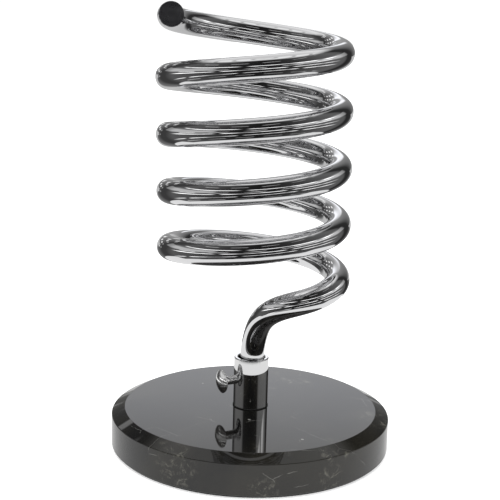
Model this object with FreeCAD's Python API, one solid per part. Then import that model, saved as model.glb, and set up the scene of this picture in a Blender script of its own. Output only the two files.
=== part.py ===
import FreeCAD, Part
import math
import os

# Spiral holster stand: a chromed tube, bent into an open coil, stands in a clamped socket on a
# round marble base. The tool's barrel drops into the coil from above.
# Frame: origin at the centre of the base's underside, +Z up, +X to the right, -Y to the user.
# All sizes are in millimetres.

UP = FreeCAD.Vector(0, 0, 1)

# Base disc, its pad and the socket's gasket
BASE_R = 75.0
BASE_TOP = 21.0
BEVEL_WIDTH = 7.0
BEVEL_HEIGHT = 3.4
BASE_EDGE_BREAK = 0.4
PAD_R = 73.6
PAD_THICKNESS = 1.2
COUNTERBORE_R = 12.0
COUNTERBORE_TOP = 11.2
BOLT_HOLE_R = 4.5
GASKET_R = 9.6
GASKET_THICKNESS = 0.6

# Socket
SOCKET_R = 9.35
SOCKET_BORE_R = 7.25
SOCKET_HEIGHT = 26.8
RIM_FILLET = 0.55
FLOOR_THICKNESS = 8.0

# Fasteners under the base: M8 bolt with a flat and a split washer
BOLT_R = 3.95
BOLT_THREAD_HOLE_R = 4.0
BOLT_LENGTH = 20.0
BOLT_HEAD_HEIGHT = 5.3
BOLT_ACROSS_FLATS = 13.0
FLAT_WASHER_R = 8.0
FLAT_WASHER_THICKNESS = 1.6
SPLIT_WASHER_R = 7.4
SPLIT_WASHER_THICKNESS = 2.0
SPLIT_GAP = 1.6
WASHER_BORE_R = 4.2

# Thumbscrew: M5 with a mushroom head and a nylon tip, square to the socket's wall
SCREW_AZIMUTH = 209.0
SCREW_ABOVE_BASE = 15.6
SCREW_R = 2.42
SCREW_HOLE_R = 2.48
SCREW_HEAD_R = 6.3
SCREW_HEAD_START = 16.9
SCREW_HEAD_RIM = 17.9
SCREW_HEAD_END = 20.1
SCREW_NECK = 1.1
TIP_R = 1.9
TIP_LENGTH = 1.2
TIP_PEG_R = 1.0
TIP_PEG_LENGTH = 2.4
TIP_CLEARANCE = 0.06
TIP_TO_STEM = 0.07

# Spiral tube
TUBE_R = 6.5
TUBE_WALL = 1.0
STEM_X = 0.5
STEM_TOP = 49.5
STEM_ABOVE_FLOOR = 1.1
COIL_R = 44.7
PITCH = 29.5
WHOLE_TURNS = 4
COIL_FOOT = FreeCAD.Vector(-0.2, 0, 93.6)
COIL_DRIFT = FreeCAD.Vector(-0.0186, 0.0100, 1)
LEAD_IN = [
    FreeCAD.Vector(1.7, -2.7, 60.3),
    FreeCAD.Vector(15.4, -23.9, 82.4),
    FreeCAD.Vector(31.9, -24.7, 88.1),
]
COIL_BEGIN = -15
END_ANGLE = 195
POINT_STEP = 15
END_CURL = 1.3
END_RISE = 1.2

# Plugs that close the tube's two ends
PLUG_R = 6.4
PLUG_RIM = 0.9
PLUG_DOME = 1.1
PLUG_PEG_R = 5.2
PLUG_PEG_LENGTH = 4.0

SOCKET_FOOT = BASE_TOP + GASKET_THICKNESS
SOCKET_MOUTH = SOCKET_FOOT + SOCKET_HEIGHT
SOCKET_FLOOR = SOCKET_FOOT + FLOOR_THICKNESS
STEM_FOOT = SOCKET_FLOOR + STEM_ABOVE_FLOOR
SCREW_Z = BASE_TOP + SCREW_ABOVE_BASE
COIL_END = 360 * WHOLE_TURNS + END_ANGLE


def point(radius, height):
    """Point of a turned part's outline."""
    return FreeCAD.Vector(radius, 0, height)


def turned(outline):
    """Solid of revolution about Z of a closed (radius, height) outline."""
    points = [point(r, z) for r, z in outline]
    face = Part.Face(Part.makePolygon(points + points[:1]))
    return face.revolve(FreeCAD.Vector(0, 0, 0), UP, 360)


def ring(outer_r, inner_r, low, high):
    """Flat ring or short tube about Z."""
    return turned([(inner_r, low), (outer_r, low), (outer_r, high), (inner_r, high)])


def fillet_circles(solid, radius, height, size):
    """Round the circular edges of one radius at one height."""
    edges = []
    for edge in solid.Edges:
        is_circle = isinstance(edge.Curve, Part.Circle)
        if is_circle and abs(edge.Curve.Radius - radius) < 1e-6 and abs(edge.Curve.Center.z - height) < 1e-6:
            edges.append(edge)
    return solid.makeFillet(size, edges)


def aimed(shape, start, direction):
    """Move a shape drawn along Z from the origin so that it runs from start along direction."""
    moved = shape.copy()
    moved.Placement = FreeCAD.Placement(start, FreeCAD.Rotation(UP, direction))
    return moved


def marble_base():
    return turned([
        (BOLT_HOLE_R, COUNTERBORE_TOP),
        (COUNTERBORE_R, COUNTERBORE_TOP),
        (COUNTERBORE_R, PAD_THICKNESS),
        (BASE_R - BASE_EDGE_BREAK, PAD_THICKNESS),
        (BASE_R, PAD_THICKNESS + BASE_EDGE_BREAK),
        (BASE_R, BASE_TOP - BEVEL_HEIGHT),
        (BASE_R - BEVEL_WIDTH, BASE_TOP),
        (BOLT_HOLE_R, BASE_TOP),
    ])


def base_pad():
    return Part.makeCylinder(PAD_R, PAD_THICKNESS)


def foot_gasket():
    return ring(GASKET_R, BOLT_HOLE_R, BASE_TOP, SOCKET_FOOT)


def screw_direction():
    angle = math.radians(SCREW_AZIMUTH)
    return FreeCAD.Vector(math.cos(angle), math.sin(angle), 0)


def socket_tube():
    """Plain tube with a rounded rim and one tapped cross hole for the thumbscrew."""
    tube = ring(SOCKET_R, SOCKET_BORE_R, SOCKET_FOOT, SOCKET_MOUTH)
    tube = fillet_circles(tube, SOCKET_R, SOCKET_MOUTH, RIM_FILLET)
    tube = fillet_circles(tube, SOCKET_BORE_R, SOCKET_MOUTH, RIM_FILLET)
    cross_hole = Part.makeCylinder(SCREW_HOLE_R, 2 * SOCKET_R)
    return tube.cut(aimed(cross_hole, UP * SCREW_Z, screw_direction()))


def socket_floor():
    """Tapped plug welded into the socket's foot."""
    return ring(SOCKET_BORE_R, BOLT_THREAD_HOLE_R, SOCKET_FOOT, SOCKET_FLOOR)


def bolt_stack():
    """Heights of the flat washer's, split washer's and bolt head's undersides."""
    flat_low = COUNTERBORE_TOP - FLAT_WASHER_THICKNESS
    split_low = flat_low - SPLIT_WASHER_THICKNESS
    return flat_low, split_low, split_low - BOLT_HEAD_HEIGHT


def flat_washer():
    low = bolt_stack()[0]
    return ring(FLAT_WASHER_R, WASHER_BORE_R, low, low + FLAT_WASHER_THICKNESS)


def split_washer():
    low = bolt_stack()[1]
    washer = ring(SPLIT_WASHER_R, WASHER_BORE_R, low, low + SPLIT_WASHER_THICKNESS)
    corner = FreeCAD.Vector(0, -SPLIT_GAP / 2, low)
    return washer.cut(Part.makeBox(SPLIT_WASHER_R + 1, SPLIT_GAP, SPLIT_WASHER_THICKNESS, corner))


def mounting_bolt():
    """Hexagon head with chamfered corners, plain shank in place of the thread."""
    head_low = bolt_stack()[2]
    corner_r = BOLT_ACROSS_FLATS / math.sqrt(3)
    corners = []
    for i in range(7):
        angle = math.radians(60 * i)
        corners.append(FreeCAD.Vector(corner_r * math.cos(angle), corner_r * math.sin(angle), head_low))
    head = Part.Face(Part.makePolygon(corners)).extrude(UP * BOLT_HEAD_HEIGHT)
    flat_r = BOLT_ACROSS_FLATS / 2
    chamfer = corner_r - flat_r
    head_high = head_low + BOLT_HEAD_HEIGHT
    head = head.common(turned([
        (0, head_low),
        (flat_r, head_low),
        (corner_r, head_low + chamfer),
        (corner_r, head_high),
        (0, head_high),
    ]))
    shank = Part.makeCylinder(BOLT_R, BOLT_LENGTH, UP * head_high)
    return head.fuse(shank).removeSplitter()


def tip_end():
    """Distance from the socket's axis to the nylon tip's end, just clear of the stem."""
    towards = screw_direction()
    beside = STEM_X * towards.y
    stem_surface = STEM_X * towards.x + math.sqrt(TUBE_R ** 2 - beside ** 2)
    return stem_surface + TIP_TO_STEM


def quarter_arc(start, centre, end):
    """Quarter circle between two outline points about a centre."""
    towards_middle = (start - centre + end - centre).normalize()
    middle = centre + towards_middle * (start - centre).Length
    return Part.Arc(start, middle, end).toShape()


def dome_arc(rim, apex):
    """Spherical crown from an outline point on the rim up to the apex on the axis."""
    rise = apex.z - rim.z
    sphere_r = (rim.x ** 2 + rise ** 2) / (2 * rise)
    half_angle = math.asin(rim.x / sphere_r) / 2
    middle = point(sphere_r * math.sin(half_angle), apex.z - sphere_r * (1 - math.cos(half_angle)))
    return Part.Arc(rim, middle, apex).toShape()


def thumbscrew():
    """Plain shank in place of the thread, a flared neck and a shallow domed head."""
    shank_end = tip_end() + TIP_LENGTH + TIP_CLEARANCE
    peg_hole_r = TIP_PEG_R + TIP_CLEARANCE
    peg_hole_end = shank_end + TIP_PEG_LENGTH + TIP_CLEARANCE
    edge_r = SCREW_HEAD_RIM - SCREW_HEAD_START
    shank_corner = point(SCREW_R, shank_end)
    neck_start = point(SCREW_R, SCREW_HEAD_START - SCREW_NECK)
    neck_centre = point(SCREW_R + SCREW_NECK, SCREW_HEAD_START - SCREW_NECK)
    neck_end = point(SCREW_R + SCREW_NECK, SCREW_HEAD_START)
    edge_start = point(SCREW_HEAD_R - edge_r, SCREW_HEAD_START)
    edge_centre = point(SCREW_HEAD_R - edge_r, SCREW_HEAD_RIM)
    rim = point(SCREW_HEAD_R, SCREW_HEAD_RIM)
    apex = point(0, SCREW_HEAD_END)
    hole_middle = point(0, peg_hole_end)
    hole_corner = point(peg_hole_r, peg_hole_end)
    hole_mouth = point(peg_hole_r, shank_end)
    screw = Part.Face(Part.Wire([
        Part.makeLine(shank_corner, neck_start),
        quarter_arc(neck_start, neck_centre, neck_end),
        Part.makeLine(neck_end, edge_start),
        quarter_arc(edge_start, edge_centre, rim),
        dome_arc(rim, apex),
        Part.makeLine(apex, hole_middle),
        Part.makeLine(hole_middle, hole_corner),
        Part.makeLine(hole_corner, hole_mouth),
        Part.makeLine(hole_mouth, shank_corner),
    ])).revolve(FreeCAD.Vector(0, 0, 0), UP, 360)
    return aimed(screw, UP * SCREW_Z, screw_direction())


def screw_tip():
    """Nylon pressure tip: a disc against the stem and a peg in the thumbscrew's end."""
    low = tip_end()
    high = low + TIP_LENGTH
    tip = turned([
        (0, low),
        (TIP_R, low),
        (TIP_R, high),
        (TIP_PEG_R, high),
        (TIP_PEG_R, high + TIP_PEG_LENGTH),
        (0, high + TIP_PEG_LENGTH),
    ])
    return aimed(tip, UP * SCREW_Z, screw_direction())


def coil_point(degrees):
    """Point of the coil's centreline, counted round from its lowest point on the right.

    The whole turns form a helix whose axis drifts a little to the left and back as it climbs.
    The open stretch after them curls in and rises slightly faster.
    """
    share = max(0, degrees - 360 * WHOLE_TURNS) / END_ANGLE
    ease = share * share * (3 - 2 * share)
    radius = COIL_R - END_CURL * ease
    climb = PITCH * degrees / 360 + END_RISE * ease
    angle = math.radians(degrees)
    return COIL_FOOT + COIL_DRIFT * climb + FreeCAD.Vector(radius * math.cos(angle), radius * math.sin(angle), 0)


def coil_direction(degrees):
    """Direction of the climbing centreline."""
    return (coil_point(degrees + 0.5) - coil_point(degrees - 0.5)).normalize()


def smooth_curve(points, start_direction, end_direction):
    """Curve through the points that leaves the first and reaches the last in the given directions."""
    distances = [0.0]
    for a, b in zip(points[:-1], points[1:]):
        distances.append(distances[-1] + (b - a).Length)
    curve = Part.BSplineCurve()
    curve.interpolate(
        Points=points,
        Parameters=distances,
        InitialTangent=start_direction,
        FinalTangent=end_direction,
        Scale=False,
    )
    return curve.toShape()


def tube_section(centre, direction):
    """Ring-shaped cross-section square to the centreline."""
    outer = Part.Face(Part.Wire(Part.makeCircle(TUBE_R, centre, direction)))
    inner = Part.Face(Part.Wire(Part.makeCircle(TUBE_R - TUBE_WALL, centre, direction)))
    return outer.cut(inner).Faces[0]


def spiral_stem():
    """Straight stem in the socket and the sweep that leads out into the coil."""
    foot = FreeCAD.Vector(STEM_X, 0, STEM_FOOT)
    stem_top = FreeCAD.Vector(STEM_X, 0, STEM_TOP)
    sweep_points = [stem_top] + LEAD_IN + [coil_point(COIL_BEGIN)]
    sweep = smooth_curve(sweep_points, UP, coil_direction(COIL_BEGIN))
    path = Part.Wire([Part.makeLine(foot, stem_top), sweep])
    return path.makePipe(tube_section(foot, UP))


def coil_length(first, last):
    """Length of the coil between two angles."""
    points = [coil_point(angle) for angle in range(first, last + 1, POINT_STEP)]
    curve = smooth_curve(points, coil_direction(first), coil_direction(last))
    return Part.Wire(curve).makePipe(tube_section(points[0], coil_direction(first)))


def coil_lengths():
    """The coil, one whole turn after another, then its open end."""
    lengths = {}
    for turn in range(WHOLE_TURNS):
        first = COIL_BEGIN + 360 * turn
        lengths[f"spiral_turn_{turn + 1}"] = coil_length(first, first + 360)
    lengths["spiral_open_end"] = coil_length(COIL_BEGIN + 360 * WHOLE_TURNS, COIL_END)
    return lengths


def end_plug():
    """Domed cap of the tube's own width with a peg inside the tube, drawn cap upwards."""
    rim = point(PLUG_R, PLUG_RIM)
    apex = point(0, PLUG_RIM + PLUG_DOME)
    corners = [
        apex,
        point(0, -PLUG_PEG_LENGTH),
        point(PLUG_PEG_R, -PLUG_PEG_LENGTH),
        point(PLUG_PEG_R, 0),
        point(PLUG_R, 0),
        rim,
    ]
    edges = [Part.makeLine(a, b) for a, b in zip(corners[:-1], corners[1:])]
    return Part.Face(Part.Wire(edges + [dome_arc(rim, apex)])).revolve(FreeCAD.Vector(0, 0, 0), UP, 360)


def top_end_plug():
    return aimed(end_plug(), coil_point(COIL_END), coil_direction(COIL_END))


def bottom_end_plug():
    """Flat plug in the stem's foot."""
    shoulder = STEM_FOOT - PLUG_RIM
    plug = turned([
        (0, shoulder),
        (PLUG_R, shoulder),
        (PLUG_R, STEM_FOOT),
        (PLUG_PEG_R, STEM_FOOT),
        (PLUG_PEG_R, STEM_FOOT + PLUG_PEG_LENGTH),
        (0, STEM_FOOT + PLUG_PEG_LENGTH),
    ])
    plug.translate(FreeCAD.Vector(STEM_X, 0, 0))
    return plug


shapes = {
    "marble_base": marble_base(),
    "base_pad": base_pad(),
    "foot_gasket": foot_gasket(),
    "socket_tube": socket_tube(),
    "socket_floor": socket_floor(),
    "flat_washer": flat_washer(),
    "split_washer": split_washer(),
    "mounting_bolt": mounting_bolt(),
    "thumbscrew": thumbscrew(),
    "screw_tip": screw_tip(),
    "spiral_stem": spiral_stem(),
    "top_end_plug": top_end_plug(),
    "bottom_end_plug": bottom_end_plug(),
}
shapes.update(coil_lengths())

os.makedirs("parts", exist_ok=True)
for name, shape in shapes.items():
    print(name, shape.ShapeType, "valid" if shape.isValid() else "INVALID", round(shape.Volume, 1))
    shape.exportStep(os.path.join("parts", name + ".step"))
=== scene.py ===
import math

import bpy
import numpy as np
from mathutils import Matrix, Vector


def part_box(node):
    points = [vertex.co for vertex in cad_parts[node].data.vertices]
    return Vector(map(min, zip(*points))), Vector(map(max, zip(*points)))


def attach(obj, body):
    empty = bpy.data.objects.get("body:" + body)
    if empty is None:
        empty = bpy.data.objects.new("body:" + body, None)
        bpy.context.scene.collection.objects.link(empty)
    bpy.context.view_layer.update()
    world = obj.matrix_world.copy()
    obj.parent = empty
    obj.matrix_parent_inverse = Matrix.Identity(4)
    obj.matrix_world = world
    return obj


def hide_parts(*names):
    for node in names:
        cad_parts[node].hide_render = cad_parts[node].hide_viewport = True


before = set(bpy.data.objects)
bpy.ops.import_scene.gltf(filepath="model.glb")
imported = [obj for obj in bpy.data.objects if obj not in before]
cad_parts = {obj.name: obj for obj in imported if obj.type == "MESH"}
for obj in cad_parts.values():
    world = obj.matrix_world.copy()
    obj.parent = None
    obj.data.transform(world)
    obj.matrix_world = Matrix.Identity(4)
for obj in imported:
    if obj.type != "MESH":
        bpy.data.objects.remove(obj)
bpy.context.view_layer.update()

# Spiral holster stand. Everything is in metres in the CAD frame: origin at the centre of the
# base's underside, +Z up, +X to the right, -Y towards the user.

MM = 0.001
UP = Vector((0, 0, 1))


# ---------------------------------------------------------------- camera

# angles in radians, lens and sensor in millimetres, place and clipping in metres
CAMERA_PLACE = Vector((3.278, -577.549, 230.871)) * MM
CAMERA_DIP = 0.199
CAMERA_TURN = -0.010
CAMERA_ROLL = 0.026
CAMERA_LENS = 80.19
CAMERA_SENSOR = 36
CAMERA_SHIFT_Y = -0.0271
CAMERA_CLIP = (0.01, 100)


def make_camera():
    """Camera with a dip below the horizon, a turn from +Y and a slight roll."""
    forward = Vector((
        math.sin(CAMERA_TURN) * math.cos(CAMERA_DIP),
        math.cos(CAMERA_TURN) * math.cos(CAMERA_DIP),
        -math.sin(CAMERA_DIP),
    ))
    level = forward.cross(UP).normalized()
    above = level.cross(forward)
    right = math.cos(CAMERA_ROLL) * level + math.sin(CAMERA_ROLL) * above
    top = -math.sin(CAMERA_ROLL) * level + math.cos(CAMERA_ROLL) * above
    data = bpy.data.cameras.new("camera")
    data.lens = CAMERA_LENS
    data.sensor_width = CAMERA_SENSOR
    data.shift_y = CAMERA_SHIFT_Y
    data.clip_start, data.clip_end = CAMERA_CLIP
    camera = bpy.data.objects.new("camera", data)
    bpy.context.scene.collection.objects.link(camera)
    turn = Matrix((right, top, -forward)).transposed().to_4x4()
    camera.matrix_world = Matrix.Translation(CAMERA_PLACE) @ turn
    bpy.context.scene.camera = camera


# ---------------------------------------------------------------- node trees

class Tree:
    """Short calls for building a node tree; a value may be a number, a colour or a node's output."""

    def __init__(self, node_tree):
        self.nodes = node_tree.nodes
        self.links = node_tree.links
        self.nodes.clear()

    def node(self, kind, settings=None, **inputs):
        made = self.nodes.new(kind)
        for name, value in (settings or {}).items():
            setattr(made, name, value)
        for name, value in inputs.items():
            self.feed(made.inputs[name.replace("_", " ")], value)
        return made

    def feed(self, socket, value):
        if isinstance(value, bpy.types.NodeSocket):
            self.links.new(value, socket)
        elif isinstance(value, (tuple, list)) and len(value) == 3 and socket.type == "RGBA":
            socket.default_value = (*value, 1)
        else:
            socket.default_value = value

    def math(self, operation, a, b=0.0, c=0.0):
        made = self.nodes.new("ShaderNodeMath")
        made.operation = operation
        for socket, value in zip(made.inputs, (a, b, c)):
            self.feed(socket, value)
        return made.outputs[0]

    def product(self, *values):
        made = values[0]
        for value in values[1:]:
            made = self.math("MULTIPLY", made, value)
        return made

    def plus_share(self, base, share, amount):
        """The base and, where the share is 1, the amount on top of it."""
        return self.math("MULTIPLY_ADD", share, amount, base)

    def step(self, value, low, high):
        """0 under low, 1 over high, smooth between."""
        made = self.nodes.new("ShaderNodeMapRange")
        made.interpolation_type = "SMOOTHSTEP"
        for socket, number in zip(made.inputs, (value, low, high, 0.0, 1.0)):
            self.feed(socket, number)
        return made.outputs[0]

    def fade(self, value, low, high):
        """1 under low, 0 over high, smooth between."""
        return self.math("SUBTRACT", 1.0, self.step(value, low, high))

    def close_to(self, value, middle, inner, outer):
        """1 within the inner distance of the middle, 0 beyond the outer one, smooth between."""
        return self.fade(self.math("ABSOLUTE", self.math("SUBTRACT", value, middle)), inner, outer)

    def mix(self, share, a, b):
        """Blend of two colours."""
        made = self.nodes.new("ShaderNodeMix")
        made.data_type = "RGBA"
        self.feed(made.inputs["Factor"], share)
        self.feed(made.inputs[6], a)
        self.feed(made.inputs[7], b)
        return made.outputs[2]

    def ramp(self, value, stops):
        """Grey levels at rising positions from 0 to 1."""
        made = self.nodes.new("ShaderNodeValToRGB")
        elements = made.color_ramp.elements
        while len(elements) < len(stops):
            elements.new(0.5)
        for element, (position, level) in zip(elements, stops):
            element.position = position
            element.color = (level, level, level, 1)
        self.feed(made.inputs[0], value)
        return made.outputs[0]

    def place(self):
        """Metres in the object's own frame."""
        return self.node("ShaderNodeTexCoord").outputs["Object"]

    def noise(self, vector, scale, detail=4.0, rough=0.5, distort=0.0):
        made = self.node("ShaderNodeTexNoise", Vector=vector, Scale=scale, Detail=detail,
                         Roughness=rough, Distortion=distort)
        return made.outputs["Fac"]

    def bump(self, height, strength, distance):
        made = self.node("ShaderNodeBump", Height=height, Strength=strength, Distance=distance)
        return made.outputs["Normal"]

    def azimuth(self, x, y):
        """Degrees to the right of straight ahead, which is -Y."""
        return self.math("DEGREES", self.math("ARCTAN2", x, self.math("MULTIPLY", y, -1.0)))


def material(name):
    made = bpy.data.materials.new(name)
    made.use_nodes = True
    tree = Tree(made.node_tree)
    output = tree.node("ShaderNodeOutputMaterial")
    shader = tree.node("ShaderNodeBsdfPrincipled")
    tree.links.new(shader.outputs[0], output.inputs[0])
    return made, tree, shader


def set_inputs(tree, shader, **inputs):
    for name, value in inputs.items():
        tree.feed(shader.inputs[name.replace("_", " ")], value)


def chrome_material(name, tint, waviness, gloss=0.018):
    """Bright plating: faint smears in the gloss, and long low ripples left by polishing."""
    made, tree, shader = material(name)
    place = tree.place()
    smear = tree.noise(place, scale=45.0, detail=3.0, rough=0.6, distort=0.4)
    fine = tree.noise(place, scale=900.0, detail=2.0)
    ripple = tree.noise(place, scale=17.0, detail=0.0, rough=0.4)
    smear_roughness = 0.035
    dull_tint = tuple(0.93 * c for c in tint)
    set_inputs(tree, shader, Metallic=1.0,
               Base_Color=tree.mix(tree.step(fine, 0.62, 0.8), tint, dull_tint),
               Roughness=tree.plus_share(gloss, tree.step(smear, 0.45, 0.8), smear_roughness),
               Normal=tree.bump(ripple, waviness, 1 * MM))
    return made


# depth of the grain on steel, plastic and rubber
SKIN_DEPTH = 0.2 * MM


def steel_material():
    """Zinc-plated steel with a fine grain and a speckled dull bloom."""
    made, tree, shader = material("zinc_steel")
    place = tree.place()
    bloom = tree.noise(place, scale=420.0, rough=0.6)
    grain = tree.noise(place, scale=2600.0, detail=2.0)
    colour = tree.mix(bloom, (0.42, 0.43, 0.45), (0.66, 0.66, 0.65))
    set_inputs(tree, shader, Base_Color=colour, Metallic=1.0,
               Roughness=tree.plus_share(0.22, bloom, 0.25),
               Normal=tree.bump(grain, 0.15, SKIN_DEPTH))
    return made


def plastic_material(name, low, high, roughness, grain_scale, grain_strength):
    """Moulded plastic or rubber: slight shade changes and a fine skin."""
    made, tree, shader = material(name)
    place = tree.place()
    cloud = tree.noise(place, scale=160.0, detail=3.0)
    grain = tree.noise(place, scale=grain_scale, detail=3.0, rough=0.6)
    set_inputs(tree, shader, Base_Color=tree.mix(cloud, low, high),
               Roughness=tree.plus_share(roughness, cloud, 0.08),
               Normal=tree.bump(grain, grain_strength, SKIN_DEPTH))
    return made


PALE_PATCHES = (
    # degrees round from the front, height, size
    (-28, 11 * MM, 14 * MM),
    (6, 3 * MM, 10 * MM),
    (33, 7 * MM, 9 * MM),
)
BLACK_GROUND = (0.0055, 0.0055, 0.0055)
BROWN_GROUND = (0.0160, 0.0148, 0.0115)
PATCH_COLOUR = (0.15, 0.145, 0.12)
PATCH_SHARE = 0.65
VEIN_COLOUR = (0.62, 0.62, 0.58)
LONG_VEIN_SHARE = 0.13
SHORT_VEIN_SHARE = 0.16
FLECK_SHARE = 0.4


def pale_patches(tree, place):
    """Share of broken pale stone: small blotches anywhere, and larger ones at places on the wall."""
    blotch = tree.step(tree.noise(place, scale=21.0, detail=3.0, distort=0.8), 0.60, 0.68)
    broken = tree.step(tree.noise(place, scale=150.0, detail=6.0, rough=0.75, distort=1.5), 0.50, 0.66)
    patch = tree.product(blotch, broken)
    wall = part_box("marble_base")[1].x
    for turn, height, size in PALE_PATCHES:
        angle = math.radians(turn)
        apart = tree.node("ShaderNodeVectorMath", {"operation": "DISTANCE"})
        tree.feed(apart.inputs[0], place)
        tree.feed(apart.inputs[1], (wall * math.sin(angle), -wall * math.cos(angle), height))
        spot = tree.fade(apart.outputs["Value"], 0.35 * size, size)
        patch = tree.math("MAXIMUM", patch, tree.product(spot, broken))
    return patch


def veins(tree, place, warp, cells, spread, width, gaps):
    """Thin crack lines between bent cells, broken into lengths by the gaps."""
    bent = tree.node("ShaderNodeVectorMath", {"operation": "MULTIPLY_ADD"})
    tree.feed(bent.inputs[0], warp)
    tree.feed(bent.inputs[1], (spread, spread, spread))
    tree.feed(bent.inputs[2], place)
    crack = tree.node("ShaderNodeTexVoronoi", {"feature": "DISTANCE_TO_EDGE"},
                      Vector=bent.outputs[0], Scale=cells).outputs["Distance"]
    return tree.product(tree.fade(crack, 0.0, width), gaps)


def marble_material():
    """Polished black marble: brownish clouds, pale broken patches, thin short veins and small flecks."""
    made, tree, shader = material("black_marble")
    place = tree.place()
    cloud = tree.step(tree.noise(place, scale=13.0, detail=6.0, rough=0.62, distort=0.6), 0.38, 0.66)
    ground = tree.mix(cloud, BLACK_GROUND, BROWN_GROUND)
    ground = tree.mix(tree.product(pale_patches(tree, place), PATCH_SHARE), ground, PATCH_COLOUR)

    warp = tree.node("ShaderNodeTexNoise", Vector=place, Scale=30.0, Detail=5.0, Roughness=0.65)
    warp = warp.outputs["Color"]
    long_gaps = tree.step(tree.noise(place, scale=30.0, detail=3.0), 0.54, 0.66)
    short_gaps = tree.step(tree.noise(place, scale=75.0, detail=3.0), 0.58, 0.66)
    long_veins = veins(tree, place, warp, cells=21.0, spread=0.010, width=0.006, gaps=long_gaps)
    short_veins = veins(tree, place, warp, cells=48.0, spread=0.006, width=0.010, gaps=short_gaps)
    vein = tree.math("MAXIMUM", tree.product(long_veins, LONG_VEIN_SHARE),
                     tree.product(short_veins, SHORT_VEIN_SHARE))

    cells = tree.node("ShaderNodeTexVoronoi", {"feature": "F1"}, Vector=place, Scale=110.0)
    seed = tree.node("ShaderNodeSeparateColor", Color=cells.outputs["Color"]).outputs[0]
    fleck = tree.product(tree.math("LESS_THAN", cells.outputs["Distance"], 0.09),
                         tree.math("GREATER_THAN", seed, 0.95))
    marks = tree.math("MAXIMUM", vein, tree.product(fleck, FLECK_SHARE))
    set_inputs(tree, shader, Base_Color=tree.mix(marks, ground, VEIN_COLOUR),
               Roughness=tree.plus_share(0.025, marks, 0.3),
               IOR=1.58, Specular_IOR_Level=0.5,
               Normal=tree.bump(marks, 0.05, 0.1 * MM))
    return made


# ---------------------------------------------------------------- meshes

# over 50, large faces set the shading more than small ones
LARGE_FACE_WEIGHT = 60


def add_piece(name, vertices, faces, body, look, replaced, sharp_angle=35.0):
    """A smooth-shaded mesh object that rides on a body and stands for the CAD nodes it replaces."""
    mesh = bpy.data.meshes.new(name)
    mesh.from_pydata([tuple(v) for v in vertices], [], faces)
    mesh.validate()
    mesh.shade_smooth()
    mesh.set_sharp_from_angle(angle=math.radians(sharp_angle))
    mesh.materials.append(look)
    piece = bpy.data.objects.new(name, mesh)
    bpy.context.scene.collection.objects.link(piece)
    even = piece.modifiers.new("even_normals", "WEIGHTED_NORMAL")
    even.keep_sharp = True
    even.weight = LARGE_FACE_WEIGHT
    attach(piece, body)
    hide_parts(*replaced)
    return piece


def rounded(corners):
    """Closed outline of (radius, height, rounding) corners, each turned into a small arc."""
    steps = 4
    outline = []
    count = len(corners)
    for i, (r, z, rounding) in enumerate(corners):
        here = Vector((r, z))
        if rounding == 0:
            outline.append(here)
            continue
        before = (Vector(corners[i - 1][:2]) - here).normalized()
        after = (Vector(corners[(i + 1) % count][:2]) - here).normalized()
        half = before.angle(after) / 2
        along = rounding / math.tan(half)
        start, end = here + before * along, here + after * along
        centre = here + (before + after).normalized() * (rounding / math.sin(half))
        for k in range(steps + 1):
            spot = start.lerp(end, k / steps) - centre
            outline.append(centre + spot.normalized() * rounding)
    return outline


# a smaller radius than this counts as a point on the axis
ON_AXIS = 1e-9


def skin(rings, closed=False):
    """Vertices and faces of a surface over rings of points. A ring of one point is a pole; a
    closed surface also joins its last ring to its first."""
    sides = max(len(ring) for ring in rings)
    vertices, numbered = [], []
    for ring in rings:
        first = len(vertices)
        vertices += ring
        numbered.append([first] * sides if len(ring) == 1 else list(range(first, first + sides)))
    following = numbered[1:] + (numbered[:1] if closed else [])
    faces = []
    for ring, nxt in zip(numbered, following):
        if ring[0] == ring[-1] and nxt[0] == nxt[-1]:
            continue
        for k in range(sides):
            j = (k + 1) % sides
            faces.append(list(dict.fromkeys([ring[k], ring[j], nxt[j], nxt[k]])))
    return vertices, faces


def lathe(outline, segments):
    """Closed surface from turning a closed outline about Z; points on the axis become poles."""
    turns = [math.tau * k / segments for k in range(segments)]
    rings = []
    for r, z in outline:
        if r < ON_AXIS:
            rings.append([Vector((0, 0, z))])
        else:
            rings.append([Vector((r * math.cos(turn), r * math.sin(turn), z)) for turn in turns])
    return skin(rings, closed=True)


def aim(vertices, start, direction):
    """Move points drawn along Z from the origin so that they run from start along direction."""
    turn = UP.rotation_difference(direction)
    return [start + turn @ v for v in vertices]


# ---------------------------------------------------------------- the tube's centreline

TUBE_R = 6.5 * MM
TUBE_BORE_R = 5.5 * MM
STEM_X = 0.5 * MM
STEM_TOP = 49.5 * MM
COIL_R = 44.7 * MM
PITCH = 29.5 * MM
WHOLE_TURNS = 4
COIL_FOOT = Vector((-0.2, 0, 93.6)) * MM
COIL_DRIFT = Vector((-0.0186, 0.0100, 1))
# points of the sweep between the stem and the coil
LEAD_IN = [
    Vector((1.7, -2.7, 60.3)) * MM,
    Vector((15.4, -23.9, 82.4)) * MM,
    Vector((31.9, -24.7, 88.1)) * MM,
]
# degrees round the coil: where the lead-in joins it, and how far the open end goes past the whole turns
COIL_BEGIN = -15
END_ANGLE = 195
# how far the open end curls in, and how much more it climbs
END_CURL = 1.3 * MM
END_RISE = 1.2 * MM
COIL_END = 360 * WHOLE_TURNS + END_ANGLE


def coil_point(degrees):
    """Point of the coil's centreline, counted round from its lowest point on the right."""
    share = max(0, degrees - 360 * WHOLE_TURNS) / END_ANGLE
    ease = share * share * (3 - 2 * share)
    radius = COIL_R - END_CURL * ease
    climb = PITCH * degrees / 360 + END_RISE * ease
    angle = math.radians(degrees)
    return COIL_FOOT + COIL_DRIFT * climb + radius * Vector((math.cos(angle), math.sin(angle), 0))


def coil_direction(degrees):
    """Unit tangent of the coil's centreline, from points half a degree to either side."""
    return (coil_point(degrees + 0.5) - coil_point(degrees - 0.5)).normalized()


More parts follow.
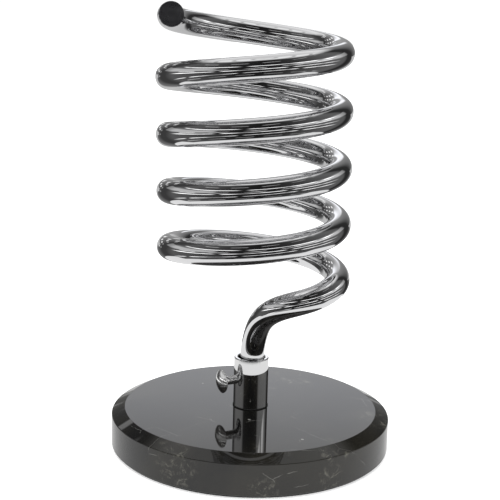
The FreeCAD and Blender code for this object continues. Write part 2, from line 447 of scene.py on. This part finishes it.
def smooth_curve(points, start_direction, end_direction, spacing):
    """Points along the cubic spline through the given points with unit tangents at its ends."""
    p = np.array([list(v) for v in points])
    h = np.linalg.norm(np.diff(p, axis=0), axis=1)
    n = len(p)
    matrix = np.zeros((n, n))
    right = np.zeros((n, 3))
    matrix[0, 0] = matrix[-1, -1] = 1
    right[0], right[-1] = list(start_direction), list(end_direction)
    for i in range(1, n - 1):
        matrix[i, i - 1], matrix[i, i + 1] = h[i], h[i - 1]
        matrix[i, i] = 2 * (h[i - 1] + h[i])
        right[i] = 3 * (h[i] / h[i - 1] * (p[i] - p[i - 1]) + h[i - 1] / h[i] * (p[i + 1] - p[i]))
    slope = np.linalg.solve(matrix, right)
    found = []
    for i in range(n - 1):
        steps = max(2, int(h[i] / spacing))
        for k in range(steps):
            t = k / steps
            a, b = (1 + 2 * t) * (1 - t) ** 2, t * t * (3 - 2 * t)
            c, d = t * (1 - t) ** 2 * h[i], t * t * (t - 1) * h[i]
            found.append(Vector(a * p[i] + b * p[i + 1] + c * slope[i] + d * slope[i + 1]))
    return found


def centreline(spacing):
    """Points from the stem's foot to the coil's open end."""
    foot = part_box("spiral_stem")[0].z
    stem_top = Vector((STEM_X, 0, STEM_TOP))
    count = int((STEM_TOP - foot) / spacing)
    line = [Vector((STEM_X, 0, foot)).lerp(stem_top, i / count) for i in range(count)]
    coil_start = coil_point(COIL_BEGIN)
    line += smooth_curve([stem_top] + LEAD_IN + [coil_start], UP, coil_direction(COIL_BEGIN), spacing)
    count = int(math.radians(COIL_END - COIL_BEGIN) * COIL_R / spacing)
    line += [coil_point(COIL_BEGIN + (COIL_END - COIL_BEGIN) * i / count) for i in range(count + 1)]
    return line


def frames_along(line):
    """Tangent and two cross directions at each point, turning as little as possible."""
    tangents = []
    for i in range(len(line)):
        before, after = line[max(0, i - 1)], line[min(len(line) - 1, i + 1)]
        tangents.append((after - before).normalized())
    tangents[0] = UP.copy()
    tangents[-1] = coil_direction(COIL_END)
    across = Vector((1, 0, 0))
    frames = []
    for i, tangent in enumerate(tangents):
        if i:
            across = tangents[i - 1].rotation_difference(tangent) @ across
        across = (across - tangent * across.dot(tangent)).normalized()
        frames.append((tangent, across, tangent.cross(across)))
    return frames


def spiral_tube(look):
    """One bent tube with softly broken edges at its two open ends, each bored out a little way."""
    line = centreline(1.1 * MM)
    frames = frames_along(line)
    sides = 72
    edge = 0.25 * MM
    depth = 8 * MM

    def end_sections(spot, axes, inward):
        """Outer wall round to the bore and down to its floor, from the outside in."""
        made = []
        for turn in (0, 30, 60, 90):
            angle = math.radians(turn)
            back = edge * (1 - math.sin(angle))
            radius = TUBE_R - edge * (1 - math.cos(angle))
            made.append((spot + axes[0] * inward * back, axes, radius))
        made.append((spot, axes, TUBE_BORE_R + edge))
        made.append((spot + axes[0] * inward * edge, axes, TUBE_BORE_R))
        made.append((spot + axes[0] * inward * depth, axes, TUBE_BORE_R))
        made.append((spot + axes[0] * inward * depth, axes, 0.0))
        return made

    foot = end_sections(line[0], frames[0], 1)
    top = end_sections(line[-1], frames[-1], -1)
    middle = [(spot, axes, TUBE_R) for spot, axes in zip(line[1:-1], frames[1:-1])]
    turns = [math.tau * k / sides for k in range(sides)]
    rings = []
    for spot, (_, across, beside), radius in foot[::-1] + middle + top:
        if radius == 0:
            rings.append([spot])
            continue
        rings.append([spot + radius * (math.cos(turn) * across + math.sin(turn) * beside)
                      for turn in turns])
    vertices, faces = skin(rings)
    nodes = ["spiral_stem"] + [f"spiral_turn_{i + 1}" for i in range(WHOLE_TURNS)] + ["spiral_open_end"]
    return add_piece("spiral_tube", vertices, faces, "spiral", look, nodes)


# ---------------------------------------------------------------- other pieces

# hole for the bolt through the stone and the gasket
BOLT_HOLE_R = 4.5 * MM


def marble_disc(look):
    low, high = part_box("marble_base")
    bevel_width = 7.0 * MM
    bevel_height = 3.4 * MM
    counterbore_r = 12.0 * MM
    counterbore_top = 11.2 * MM
    outline = rounded([
        (BOLT_HOLE_R, counterbore_top, 0),
        (counterbore_r, counterbore_top, 0),
        (counterbore_r, low.z, 0.3 * MM),
        (high.x, low.z, 0.5 * MM),
        (high.x, high.z - bevel_height, 0.5 * MM),
        (high.x - bevel_width, high.z, 0.45 * MM),
        (BOLT_HOLE_R, high.z, 0),
    ])
    vertices, faces = lathe(outline, 320)
    return add_piece("marble_disc", vertices, faces, "base", look, ["marble_base"])


def foam_pad(look):
    low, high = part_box("base_pad")
    outline = rounded([
        (0, low.z, 0),
        (high.x, low.z, 0.35 * MM),
        (high.x, high.z, 0.2 * MM),
        (0, high.z, 0),
    ])
    vertices, faces = lathe(outline, 256)
    return add_piece("foam_pad", vertices, faces, "base", look, ["base_pad"])


def rubber_gasket(look):
    low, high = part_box("foot_gasket")
    outline = rounded([
        (BOLT_HOLE_R, low.z, 0),
        (high.x, low.z, 0.12 * MM),
        (high.x, high.z, 0.2 * MM),
        (BOLT_HOLE_R, high.z, 0),
    ])
    vertices, faces = lathe(outline, 128)
    return add_piece("rubber_gasket", vertices, faces, "base", look, ["foot_gasket"])


SCREW_AZIMUTH = math.radians(209)
SCREW_AXIS = Vector((math.cos(SCREW_AZIMUTH), math.sin(SCREW_AZIMUTH), 0))
SCREW_Z = 36.6 * MM
THREAD_PITCH = 0.8 * MM
THREAD_DEPTH = 0.44 * MM
# distances from the socket's axis
THREAD_START = 8.25 * MM
THREAD_END = 14.6 * MM


def screw_profile():
    """(distance, radius, threaded) along the thumbscrew from its shank's end to its dome's top."""
    head_start, head_rim, head_end = 16.9 * MM, 17.9 * MM, 20.1 * MM
    shank_r, head_r, neck = 2.42 * MM, 6.3 * MM, 1.1 * MM
    profile = []
    rings_a_turn = 12
    count = int((THREAD_END - THREAD_START) / (THREAD_PITCH / rings_a_turn))
    for i in range(count + 1):
        profile.append((THREAD_START + (THREAD_END - THREAD_START) * i / count, shank_r, True))
    neck_start = head_start - neck
    profile.append((neck_start, shank_r, False))
    for turn in (20, 40, 60, 80, 90):
        a = math.radians(turn)
        profile.append((neck_start + neck * math.sin(a), shank_r + neck * (1 - math.cos(a)), False))
    edge = head_rim - head_start
    profile.append((head_start, head_r - edge, False))
    for turn in (15, 30, 45, 60, 75, 90):
        a = math.radians(turn)
        profile.append((head_rim - edge * math.cos(a), head_r - edge * (1 - math.sin(a)), False))
    rise = head_end - head_rim
    sphere = (head_r ** 2 + rise ** 2) / (2 * rise)
    span = math.asin(head_r / sphere)
    dome_rings = 16
    for i in range(1, dome_rings + 1):
        a = span * (1 - i / dome_rings)
        profile.append((head_end - sphere * (1 - math.cos(a)), sphere * math.sin(a), False))
    return profile


def thread_cut(distance, share):
    """Depth of the rolled thread at a distance along the screw and a share of the way round it."""
    # across one pitch: a flat root, sloping flanks and a flat crest
    flank, root = 2.6, 0.15
    lead, run_out, first_depth = 0.6 * MM, 0.9 * MM, 0.35
    phase = (distance / THREAD_PITCH - share) % 1
    crest = min(1, max(0, flank * (0.5 - abs(phase - 0.5)) - root))
    fade = min(1, (distance - THREAD_START) / lead + first_depth, (THREAD_END - distance) / run_out)
    return THREAD_DEPTH * (1 - crest) * max(0, fade)


def thumbscrew(look):
    """Rolled thread with a tapered start and run-out, flared neck and a shallow domed head. A blind
    hole in its end takes the nylon tip's peg."""
    hole_r, hole_depth = 1.06 * MM, 2.52 * MM
    sides = 96
    hole = [
        (THREAD_START + hole_depth, 0.0, False),
        (THREAD_START + hole_depth, hole_r, False),
        (THREAD_START, hole_r, False),
    ]
    rings = []
    for distance, radius, threaded in hole + screw_profile():
        if radius < ON_AXIS:
            rings.append([Vector((0, 0, distance))])
            continue
        ring = []
        for k in range(sides):
            turn = math.tau * k / sides
            r = radius - (thread_cut(distance, k / sides) if threaded else 0)
            ring.append(Vector((r * math.cos(turn), r * math.sin(turn), distance)))
        rings.append(ring)
    vertices, faces = skin(rings)
    placed = aim(vertices, Vector((0, 0, SCREW_Z)), SCREW_AXIS)
    return add_piece("thumbscrew_turned", placed, faces, "thumbscrew", look,
                     ["thumbscrew"], sharp_angle=40)


def end_cap(look):
    """Black domed plug with a softened rim, seated on the tube's open end."""
    plug_r, rim, dome, peg_r, peg = 6.4 * MM, 0.9 * MM, 1.1 * MM, 5.2 * MM, 4.0 * MM
    sphere = (plug_r ** 2 + dome ** 2) / (2 * dome)
    span = math.asin(plug_r / sphere)
    corner, peg_chamfer, rim_chamfer = 0.35 * MM, 0.4 * MM, 0.1 * MM
    outline = [
        Vector((0, -peg)),
        Vector((peg_r - peg_chamfer, -peg)),
        Vector((peg_r, -peg + peg_chamfer)),
        Vector((peg_r, 0)),
        Vector((plug_r - rim_chamfer, 0)),
        Vector((plug_r, rim_chamfer)),
        Vector((plug_r, rim - corner)),
    ]
    for turn in (20, 40, 60):
        a = math.radians(turn)
        r = plug_r - corner * (1 - math.cos(a))
        outline.append(Vector((r, rim - corner + corner * math.sin(a))))
    inner = span * (1 - corner / plug_r)
    dome_rings = 14
    for i in range(dome_rings + 1):
        a = inner * (1 - i / dome_rings)
        outline.append(Vector((sphere * math.sin(a), rim + dome - sphere * (1 - math.cos(a)))))
    # the last point of the dome is exactly on the axis
    outline[-1].x = 0
    vertices, faces = lathe(outline, 128)
    placed = aim(vertices, coil_point(COIL_END), coil_direction(COIL_END))
    return add_piece("open_end_cap", placed, faces, "spiral", look,
                     ["top_end_plug"], sharp_angle=50)


def dress(node, look):
    """A carried-over CAD node gets its finished material."""
    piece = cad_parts[node]
    piece.data.materials.clear()
    piece.data.materials.append(look)


# ---------------------------------------------------------------- studio

# Directions are in degrees: azimuth to the right of straight ahead, elevation above the horizon.

WALL_LEVELS = (
    # azimuth, level
    (-180, 0.36), (-172, 0.30), (-157, 0.18), (-138, 0.05), (-124, 0.05), (-108, 0.11), (-85, 0.095),
    (-50, 0.050), (-20, 0.018), (10, 0.012), (45, 0.035), (80, 0.09), (112, 0.13), (124, 0.11),
    (131, 0.025), (143, 0.03), (157, 0.18), (172, 0.30), (180, 0.36),
)
LAMP_ROWS = (
    # elevation ahead, its change per degree to the right, half width, pitch, lit share, shift, power
    (51.0, 0.030, 1.2, 47.0, 0.60, 21.0, 0.5),
    (27.0, -0.050, 1.5, 97.0, 0.93, 43.0, 1.5),
    (11.0, 0.030, 1.0, 43.0, 0.62, 5.0, 0.9),
    (-1.0, -0.010, 1.5, 83.0, 0.93, 14.0, 1.7),
    (-22.0, 0.060, 1.4, 71.0, 0.92, 9.0, 1.4),
    (-42.0, 0.0, 1.0, 38.0, 0.70, 9.0, 0.5),
)
GRID_POWER = 0.9
SIDE_WALL_LIFT = 0.20
STRIP_LIFT = 0.26
WINDOW_LIFT = 0.88
WINDOW_TINT = (0.97, 0.985, 1.03)
CEILING_LEVEL = 0.95
CEILING_SEAM = -0.45
CEILING_REAR = -0.25
BACKDROP = (1.05, 1.05, 1.05)


def wall_light(tree, azimuth, aside, elevation):
    """Level of the walls all round, and where the window behind is."""
    around = tree.math("MULTIPLY_ADD", azimuth, 1 / 360, 0.5)
    walls = tree.ramp(around, [(0.5 + turn / 360, level) for turn, level in WALL_LEVELS])
    # paler side walls a little above the horizon, with a narrower and longer strip along them
    side = tree.product(tree.step(aside, 42.0, 62.0), tree.fade(aside, 112.0, 126.0),
                        tree.close_to(elevation, 18.0, 5.0, 13.0))
    walls = tree.plus_share(walls, side, SIDE_WALL_LIFT)
    strip = tree.product(tree.step(aside, 44.0, 51.0), tree.fade(aside, 128.0, 134.0),
                         tree.close_to(elevation, 17.0, 5.0, 8.0))
    walls = tree.plus_share(walls, strip, STRIP_LIFT)
    # a bright window straight behind, a little above the horizon
    window = tree.product(tree.step(elevation, 14.0, 17.5), tree.fade(elevation, 17.5, 29.0),
                          tree.step(aside, 167.0, 172.0))
    return tree.plus_share(walls, window, WINDOW_LIFT), window


def spaced(tree, value, pitch, inner, outer):
    """1 in the middle of each length of pitch, 0 at its ends."""
    turn = tree.math("FRACT", tree.math("MULTIPLY", value, 1 / pitch))
    return tree.close_to(turn, 0.5, inner, outer)


def lamp_light(tree, ray, azimuth, aside, elevation):
    """Long rows of lamps ahead, and a close grid of small ones on the left towards the back."""
    lamps = 0.0
    for row, tilt, width, pitch, lit, shift, power in LAMP_ROWS:
        middle = tree.math("MULTIPLY_ADD", azimuth, tilt, row)
        band = tree.close_to(elevation, middle, width * 0.8, width * 1.2)
        shifted = tree.math("ADD", azimuth, 360.0 + shift)
        lamp = spaced(tree, shifted, pitch, lit / 2 - 0.07, lit / 2 + 0.03)
        lamps = tree.math("ADD", lamps, tree.product(band, lamp, power))
    ends = tree.fade(aside, 92.0, 116.0)
    drift = tree.step(tree.noise(ray, scale=2.4, detail=2.0), 0.30, 0.62)
    lamps = tree.product(lamps, ends, tree.plus_share(0.3, drift, 0.9))

    grid = tree.product(spaced(tree, aside, 9.0, 0.16, 0.30), spaced(tree, elevation, 11.0, 0.10, 0.22))
    left = tree.math("MULTIPLY", azimuth, -1.0)
    zone = tree.product(tree.step(left, 136.0, 146.0), tree.fade(left, 166.0, 172.0),
                        tree.close_to(elevation, 20.0, 26.0, 34.0))
    return tree.plus_share(lamps, tree.product(grid, zone), GRID_POWER)


def under_ceiling(tree, level, aside, elevation):
    """The level of the walls and lamps, and the pale ceiling over them. Its edge is lower at the
    sides than straight ahead, and it has darker seams in front and is duller behind."""
    bow = tree.math("MULTIPLY", aside, 1 / 140)
    edge = tree.math("MULTIPLY_ADD", tree.product(bow, bow), -26.0, 75.0)
    overhead = tree.step(tree.math("SUBTRACT", elevation, edge), -7.0, 7.0)
    rear = tree.step(aside, 125.0, 140.0)
    seams = tree.step(tree.math("SINE", tree.math("MULTIPLY", elevation, 0.55)), 0.55, 0.95)
    seams = tree.product(seams, tree.math("SUBTRACT", 1.0, rear))
    shade = tree.product(rear, tree.step(elevation, 38.0, 66.0))
    ceiling = tree.plus_share(tree.plus_share(CEILING_LEVEL, shade, CEILING_REAR), seams, CEILING_SEAM)
    return tree.plus_share(level, overhead, tree.math("SUBTRACT", ceiling, level))


def make_world():
    """Studio as the chrome sees it: a dark room with rows of lamps in front, pale side walls, a
    bright window behind and a pale ceiling. The background itself is plain white."""
    world = bpy.data.worlds.new("studio")
    bpy.context.scene.world = world
    world.use_nodes = True
    tree = Tree(world.node_tree)
    ray = tree.node("ShaderNodeTexCoord").outputs["Generated"]
    x, y, z = tree.node("ShaderNodeSeparateXYZ", Vector=ray).outputs
    azimuth = tree.azimuth(x, y)
    aside = tree.math("ABSOLUTE", azimuth)
    elevation = tree.math("DEGREES", tree.math("ARCSINE", z))
    walls, window = wall_light(tree, azimuth, aside, elevation)
    lamps = lamp_light(tree, ray, azimuth, aside, elevation)
    mirrored = under_ceiling(tree, tree.math("ADD", walls, lamps), aside, elevation)

    # the window is a little cooler than the rest
    room = tree.node("ShaderNodeVectorMath", {"operation": "SCALE"}, Scale=mirrored)
    tree.feed(room.inputs[0], tree.mix(window, (1.0, 1.0, 1.0), WINDOW_TINT))
    path = tree.node("ShaderNodeLightPath")
    shown = tree.mix(path.outputs["Is Glossy Ray"], BACKDROP, room.outputs[0])
    background = tree.node("ShaderNodeBackground", Color=shown, Strength=1.0)
    output = tree.node("ShaderNodeOutputWorld")
    tree.links.new(background.outputs[0], output.inputs[0])


# half the floor's width
FLOOR_SIZE = 8.0
FLOOR_DROP = -0.2 * MM
FLOOR_COLOUR = (0.93, 0.93, 0.93)
FLOOR_LIFT = 0.50
# how far from the centre the chrome sees the floor ahead, and how much further at the sides
FLOOR_REACH = 0.158
FLOOR_REACH_ASIDE = 0.055
FLOOR_NEAR_LEVEL = 0.88
FLOOR_BEHIND_LEVEL = 0.55


def either(tree, share, first, second):
    """Mix of two shaders: the first where the share is 0, the second where it is 1."""
    mixed = tree.node("ShaderNodeMixShader", Fac=share)
    tree.links.new(first.outputs[0], mixed.inputs[1])
    tree.links.new(second.outputs[0], mixed.inputs[2])
    return mixed


def make_floor():
    """Plain pale sweep. The chrome sees it close to the base and behind, and the dark room beyond."""
    mesh = bpy.data.meshes.new("floor")
    ways = ((-1, -1), (1, -1), (1, 1), (-1, 1))
    corners = [(FLOOR_SIZE * x, FLOOR_SIZE * y, FLOOR_DROP) for x, y in ways]
    mesh.from_pydata(corners, [], [(0, 1, 2, 3)])
    look = bpy.data.materials.new("pale_floor")
    look.use_nodes = True
    tree = Tree(look.node_tree)
    pale = tree.node("ShaderNodeBsdfDiffuse", Color=FLOOR_COLOUR)
    lift = tree.node("ShaderNodeEmission", Color=(1, 1, 1), Strength=FLOOR_LIFT)
    seen = tree.node("ShaderNodeAddShader")
    tree.links.new(pale.outputs[0], seen.inputs[0])
    tree.links.new(lift.outputs[0], seen.inputs[1])

    x, y, _ = tree.node("ShaderNodeSeparateXYZ", Vector=tree.place()).outputs
    radius = tree.math("SQRT", tree.math("ADD", tree.product(x, x), tree.product(y, y)))
    aside = tree.math("ABSOLUTE", tree.math("ADD", tree.azimuth(x, y), 10.0))
    reach = tree.plus_share(FLOOR_REACH, tree.step(aside, 74.0, 90.0), FLOOR_REACH_ASIDE)
    near = tree.fade(tree.math("SUBTRACT", radius, reach), -0.006, 0.010)
    behind = tree.step(tree.math("MULTIPLY_ADD", tree.math("ABSOLUTE", x), -1.4, y), 0.0, 0.25)
    level = tree.math("MAXIMUM", tree.product(near, FLOOR_NEAR_LEVEL),
                      tree.product(behind, FLOOR_BEHIND_LEVEL))
    mirrored = tree.node("ShaderNodeEmission", Color=(1, 1, 1), Strength=level)
    clear = tree.node("ShaderNodeBsdfTransparent")
    sheet = either(tree, tree.math("MAXIMUM", near, behind), clear, mirrored)
    path = tree.node("ShaderNodeLightPath")
    blend = either(tree, path.outputs["Is Glossy Ray"], seen, sheet)
    output = tree.node("ShaderNodeOutputMaterial")
    tree.links.new(blend.outputs[0], output.inputs[0])
    mesh.materials.append(look)
    floor = bpy.data.objects.new("floor", mesh)
    bpy.context.scene.collection.objects.link(floor)


LIGHT_PLACE = Vector((-0.25, 0.2, 1.3))
LIGHT_AIM = Vector((0, 0, 0.05))
LIGHT_SIZE = 1.2
LIGHT_POWER = 6.0


def make_light():
    """One large soft box overhead, for a faint soft shadow."""
    data = bpy.data.lights.new("soft_box", "AREA")
    data.shape = "RECTANGLE"
    data.size = LIGHT_SIZE
    data.size_y = LIGHT_SIZE
    data.energy = LIGHT_POWER
    light = bpy.data.objects.new("soft_box", data)
    bpy.context.scene.collection.objects.link(light)
    light.location = LIGHT_PLACE
    light.rotation_euler = (LIGHT_AIM - LIGHT_PLACE).to_track_quat("-Z", "Y").to_euler()
    light.visible_glossy = False
    light.visible_camera = False


# ---------------------------------------------------------------- build

bpy.context.scene.view_settings.view_transform = "Standard"
bpy.context.scene.view_settings.look = "None"

make_camera()
make_world()
make_floor()
make_light()

# tint, waviness and roughness
tube_chrome = chrome_material("tube_chrome_plate", (0.80, 0.80, 0.81), 0.12)
socket_chrome = chrome_material("socket_chrome_plate", (0.80, 0.80, 0.80), 0.01)
# the screw's chrome plate has a lighter tint than the tube's: painted light, for the light its head and
# shank catch
screw_chrome_painted_light = chrome_material("screw_chrome_plate", (0.98, 0.98, 0.98), 0.01, gloss=0.15)
steel = steel_material()
# darkest and lightest shade, roughness, and the scale and strength of the grain
black_plastic = plastic_material(
    "black_plug_plastic", (0.010, 0.010, 0.012), (0.016, 0.016, 0.018), 0.24, 700.0, 0.02)
nylon = plastic_material(
    "natural_nylon", (0.78, 0.77, 0.72), (0.86, 0.85, 0.80), 0.42, 1500.0, 0.1)
rubber = plastic_material(
    "gasket_rubber", (0.010, 0.010, 0.010), (0.018, 0.018, 0.018), 0.55, 2200.0, 0.25)
foam = plastic_material(
    "foam_rubber", (0.012, 0.012, 0.012), (0.024, 0.024, 0.024), 0.8, 1800.0, 0.6)
marble = marble_material()

spiral_tube(tube_chrome)
marble_disc(marble)
foam_pad(foam)
rubber_gasket(rubber)
thumbscrew(screw_chrome_painted_light)
end_cap(black_plastic)
dress("socket_tube", socket_chrome)
for node in ("socket_floor", "flat_washer", "split_washer", "mounting_bolt"):
    dress(node, steel)
dress("screw_tip", nylon)
dress("bottom_end_plug", black_plastic)
